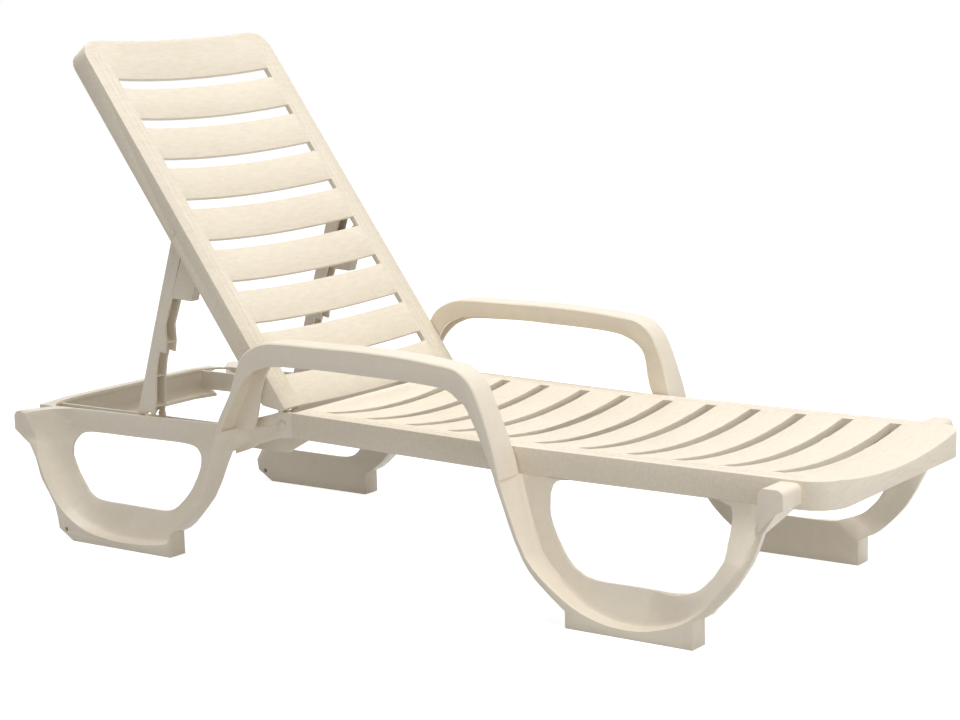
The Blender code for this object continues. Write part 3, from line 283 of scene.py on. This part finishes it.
# %% [markdown]
# ## Rounded mouldings
# A resin moulding has no knife edges, because the edges of its mould are rounded and the resin shrinks.
# Each CAD solid is copied, its loose triangles are merged into plain faces, and a small bevel rounds
# every real edge, where it catches the light in a thin bright line. A bevel by angle would also round
# the seams, so each edge is given a weight first.

# %% Rounding the edges of a moulding
MERGE_DISTANCE = 0.00002
FLAT_ANGLE = math.radians(0.15)
EDGE_ANGLE = math.radians(38)
SMOOTH_ANGLE = math.radians(40)
BEVEL_SEGMENTS = 2


def make_active(piece):
    """Select one piece alone."""
    bpy.ops.object.select_all(action="DESELECT")
    piece.select_set(True)
    bpy.context.view_layer.objects.active = piece


def merge_faces(piece):
    """Join the loose triangles of a copied solid into plain faces."""
    make_active(piece)
    bpy.ops.object.mode_set(mode="EDIT")
    bpy.ops.mesh.select_all(action="SELECT")
    bpy.ops.mesh.remove_doubles(threshold=MERGE_DISTANCE)
    bpy.ops.mesh.dissolve_limited(angle_limit=FLAT_ANGLE)
    bpy.ops.mesh.customdata_custom_splitnormals_clear()
    bpy.ops.object.mode_set(mode="OBJECT")


def mark_real_edges(piece, surface):
    """Mark each edge that is rounded: a sharp one that doesn't lie along a neighbour."""
    mesh = piece.data
    normals = {}
    for face in mesh.polygons:
        for key in face.edge_keys:
            normals.setdefault(key, []).append(face.normal)
    weights = mesh.attributes.new("bevel_weight_edge", "FLOAT", "EDGE")
    marked = 0
    for edge in mesh.edges:
        sides = normals.get(tuple(sorted(edge.vertices)), [])
        sharp = len(sides) == 2 and sides[0].angle(sides[1], 0) > EDGE_ANGLE
        if sharp and surface:
            ends = [mesh.vertices[number].co for number in edge.vertices]
            sharp = None in [surface.find_nearest(end, SEAM_REACH)[0] for end in ends]
        weights.data[edge.index].value = float(sharp)
        marked += sharp
    return marked


def soften_edges(piece, width):
    """Round the marked edges, and shade the rest smooth."""
    bevel = piece.modifiers.new("soft_edges", "BEVEL")
    bevel.width = width
    bevel.segments = BEVEL_SEGMENTS
    bevel.limit_method = "WEIGHT"
    bevel.use_clamp_overlap = True
    bevel.miter_outer = "MITER_ARC"
    make_active(piece)
    bpy.ops.object.modifier_apply(modifier=bevel.name)
    bpy.ops.object.shade_smooth_by_angle(angle=SMOOTH_ANGLE)


def rounded_moulding(name, width):
    """Copy a CAD solid with rounded edges, and let the copy stand for the solid."""
    piece = bpy.data.objects.new(name + "_moulding", nodes[name].data.copy())
    bpy.context.scene.collection.objects.link(piece)
    merge_faces(piece)
    surface = neighbour_surface(name) if is_moulded_in(name) else None
    marked = mark_real_edges(piece, surface)
    soften_edges(piece, width)
    if surface:
        close_seams(piece, surface)
    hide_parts(name)
    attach(piece, body_of_node(name))
    print(piece.name, marked, "rounded edges", len(piece.data.polygons), "faces")
    return piece


# %% [markdown]
# ## One rounding for each kind of piece
# The seat deck has the widest rounding, the legs, rails and arms have a smaller one, and the pins just
# lose their burr. Each copy could be given its own width, but a right and a left piece come from twin
# moulds, so one table holds a width for each kind of piece.

# %% Rounded copies of the CAD solids
EDGE_WIDTHS = {
    "seat_deck": 0.0016,
    "backrest": 0.0014,
    "head_beam": 0.0015,
    "front_leg": 0.0014,
    "rear_leg": 0.0014,
    "inner_rail": 0.0012,
    "armrest": 0.0010,
    "prop_arm": 0.0012,
    "hinge_pin": 0.0006,
    "prop_pin": 0.0004,
}
mouldings = {}
for word, width in EDGE_WIDTHS.items():
    for name in [word] if word in nodes else [word + "_right", word + "_left"]:
        mouldings[name] = rounded_moulding(name, width)
print("mouldings", len(mouldings))

# %% [markdown]
# ## Bead lines
# Two fine beads run along each side strip of the seat and the back. In the mould they are shallow
# grooves cut with a ball tool, so they stand up from the resin as thin round lines. They could be bent
# curves, but here each is a small disc that is extruded step by step along the surface of the strip and
# partly sunk in it, because the seat dips and the bead has to follow it.

# %% The shape of a bead
BEAD_RADIUS = 0.0019
BEAD_SINK = 0.0006
BEAD_SIDES = 8
BEAD_STEPS = 26
BEAD_REACH = 0.05
BEAD_SMOOTH_ANGLE = math.radians(60)


def panel_surface(name):
    """Make the surface of a moulding ready for looking up where a line meets it."""
    mesh = mouldings[name].data
    corners = [vertex.co for vertex in mesh.vertices]
    return BVHTree.FromPolygons(corners, [tuple(face.vertices) for face in mesh.polygons])


def bead_path(surface, start, end, out):
    """Follow a surface from one place to another, looking at it from outside."""
    path = []
    for step in range(BEAD_STEPS + 1):
        place = start.lerp(end, step / BEAD_STEPS)
        hit = surface.ray_cast(place + out * BEAD_REACH, -out)[0]
        if hit is not None:
            path.append(hit - out * BEAD_SINK)
    return path


def make_bead(name, node, path):
    """Extrude a small disc along a path, and let it move with the node that it stands on."""
    turn = (path[1] - path[0]).to_track_quat("Z", "Y").to_euler()
    bpy.ops.mesh.primitive_circle_add(
        vertices=BEAD_SIDES, radius=BEAD_RADIUS, fill_type="NGON", location=path[0], rotation=turn)
    bead = bpy.context.object
    bead.name = name
    bpy.ops.object.mode_set(mode="EDIT")
    bpy.ops.mesh.select_all(action="SELECT")
    for before, after in zip(path, path[1:]):
        bpy.ops.mesh.extrude_region_move(TRANSFORM_OT_translate={"value": after - before})
    bpy.ops.mesh.select_all(action="SELECT")
    bpy.ops.mesh.normals_make_consistent(inside=False)
    bpy.ops.object.mode_set(mode="OBJECT")
    bpy.ops.object.transform_apply(location=True, rotation=True)
    bpy.ops.object.shade_smooth_by_angle(angle=BEAD_SMOOTH_ANGLE)
    # The bead finish carries painted highlight.
    bead.data.materials.append(painted_highlight_bead_resin)
    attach(bead, body_of_node(node))
    return bead


# %% [markdown]
# ## Beads on the seat and the back
# The strips are the plain borders beside the slots. They are given by their distances from the middle
# line, and each bead lies at a share of the strip's width. One function makes the beads of both panels.
# It only needs the two ends and the way that the panel faces: up for the seat, and square to its lean
# for the back.

# %% Beads of both panels
BEAD_SHARES = (0.27, 0.55)
SIDES = {"right": -1, "left": 1}
SEAT_STRIP = (0.216, 0.2565)
SEAT_BEAD_START = Vector((-0.196, 0, 0.29))
SEAT_BEAD_END = Vector((0.824, 0, 0.28))
BACK_STRIP = (0.216, 0.265)
BACK_BEAD_START = Vector((-0.2460, 0, 0.3422))
BACK_BEAD_END = Vector((-0.6824, 0, 0.9518))
BACK_LEAN = math.radians(54.4)


def make_beads(node, word, strip, start, end, out):
    """Make both beads of both side strips of a panel."""
    surface = panel_surface(node)
    inner, outer = strip
    for hand, side in SIDES.items():
        for index, share in enumerate(BEAD_SHARES):
            across = Vector((0, side * (inner + share * (outer - inner)), 0))
            path = bead_path(surface, start + across, end + across, out)
            bead = make_bead(f"{word}_bead_{hand}_{index}", node, path)
            print(bead.name, len(path), "stations")


seat_out = Vector((0, 0, 1))
back_out = Vector((math.sin(BACK_LEAN), 0, math.cos(BACK_LEAN)))
make_beads("seat_deck", "seat", SEAT_STRIP, SEAT_BEAD_START, SEAT_BEAD_END, seat_out)
make_beads("backrest", "back", BACK_STRIP, BACK_BEAD_START, BACK_BEAD_END, back_out)

# %% [markdown]
# ## White backdrop and floor
# The photograph is a studio picture on white. More light would turn the backdrop white, but it would
# bleach the resin too. So backdrop and floor only show as white to the rays that look at them, and the
# floor's own grey still takes the shadow of the chaise.

# %% Floor
FLOOR_SIZE = 30
FLOOR_GREY = (0.55, 0.55, 0.55, 1)
FLOOR_GLOW = 0.80
WHITE_RAYS = ("Is Camera Ray", "Is Glossy Ray", "Is Transmission Ray")


def seen_as_white(tree):
    """Tell the rays that see the backdrop: straight ones, mirrored ones and those through glass."""
    path = add_node(tree, "ShaderNodeLightPath")
    seen = path.outputs[WHITE_RAYS[0]]
    for name in WHITE_RAYS[1:]:
        both = add_node(tree, "ShaderNodeMath")
        both.operation = "ADD"
        both.use_clamp = True
        tree.links.new(seen, both.inputs[0])
        tree.links.new(path.outputs[name], both.inputs[1])
        seen = both.outputs["Value"]
    return seen


def floor_finish():
    """Make a matte grey that also glows for the rays that see it."""
    material = bpy.data.materials.new("pale_floor")
    material.use_nodes = True
    tree = material.node_tree
    tree.nodes.remove(tree.nodes["Principled BSDF"])
    matte = add_node(tree, "ShaderNodeBsdfDiffuse", Color=FLOOR_GREY)
    glow = add_node(tree, "ShaderNodeEmission")
    level = add_node(tree, "ShaderNodeMath")
    level.operation = "MULTIPLY"
    level.inputs[1].default_value = FLOOR_GLOW
    both = add_node(tree, "ShaderNodeAddShader")
    tree.links.new(seen_as_white(tree), level.inputs[0])
    tree.links.new(level.outputs["Value"], glow.inputs["Strength"])
    tree.links.new(matte.outputs["BSDF"], both.inputs[0])
    tree.links.new(glow.outputs["Emission"], both.inputs[1])
    tree.links.new(both.outputs["Shader"], tree.nodes["Material Output"].inputs["Surface"])
    return material


bpy.ops.mesh.primitive_plane_add(size=FLOOR_SIZE)
floor = bpy.context.object
floor.name = "studio_floor"
floor.data.materials.append(floor_finish())
print("floor", FLOOR_SIZE, "m wide")

# %% [markdown]
# ## Light
# The photograph has soft light from above, with weak shadows. One large lamp high over the seat gives
# it, a second and weaker one stands low at the foot end, so that the faces that look to the foot are
# filled, and an even sky does the rest. Small lamps could do it too, but large ones keep shadows soft.

# %% Lamps and sky
KEY_PLACE = Vector((0.4, 0.4, 8.5))
KEY_TARGET = Vector((0.3, 0, 0.3))
KEY_SIZE = 4.6
KEY_POWER = 575
FILL_PLACE = Vector((3.6, -1.0, 1.1))
FILL_TARGET = Vector((0.7, 0, 0.2))
FILL_SIZE = 2.0
FILL_POWER = 28
SKY_STRENGTH = 0.37
WHITE_STRENGTH = 1


def make_lamp(name, place, target, size, power):
    """Hang one large soft lamp and aim it."""
    bpy.ops.object.light_add(type="AREA", location=place)
    lamp = bpy.context.object
    lamp.name = name
    lamp.data.shape = "SQUARE"
    lamp.data.size = size
    lamp.data.energy = power
    lamp.rotation_euler = (target - place).to_track_quat("-Z", "Y").to_euler()
    print(name, power, "W")


def make_sky():
    """Light the scene evenly and show white behind it."""
    world = bpy.data.worlds.new("studio_white")
    bpy.context.scene.world = world
    world.use_nodes = True
    tree = world.node_tree
    background = tree.nodes["Background"]
    background.inputs["Color"].default_value = (1, 1, 1, 1)
    strength = add_node(tree, "ShaderNodeMapRange", To_Min=SKY_STRENGTH, To_Max=WHITE_STRENGTH)
    tree.links.new(seen_as_white(tree), strength.inputs["Value"])
    tree.links.new(strength.outputs["Result"], background.inputs["Strength"])


make_lamp("key_lamp", KEY_PLACE, KEY_TARGET, KEY_SIZE, KEY_POWER)
make_lamp("fill_lamp", FILL_PLACE, FILL_TARGET, FILL_SIZE, FILL_POWER)
make_sky()
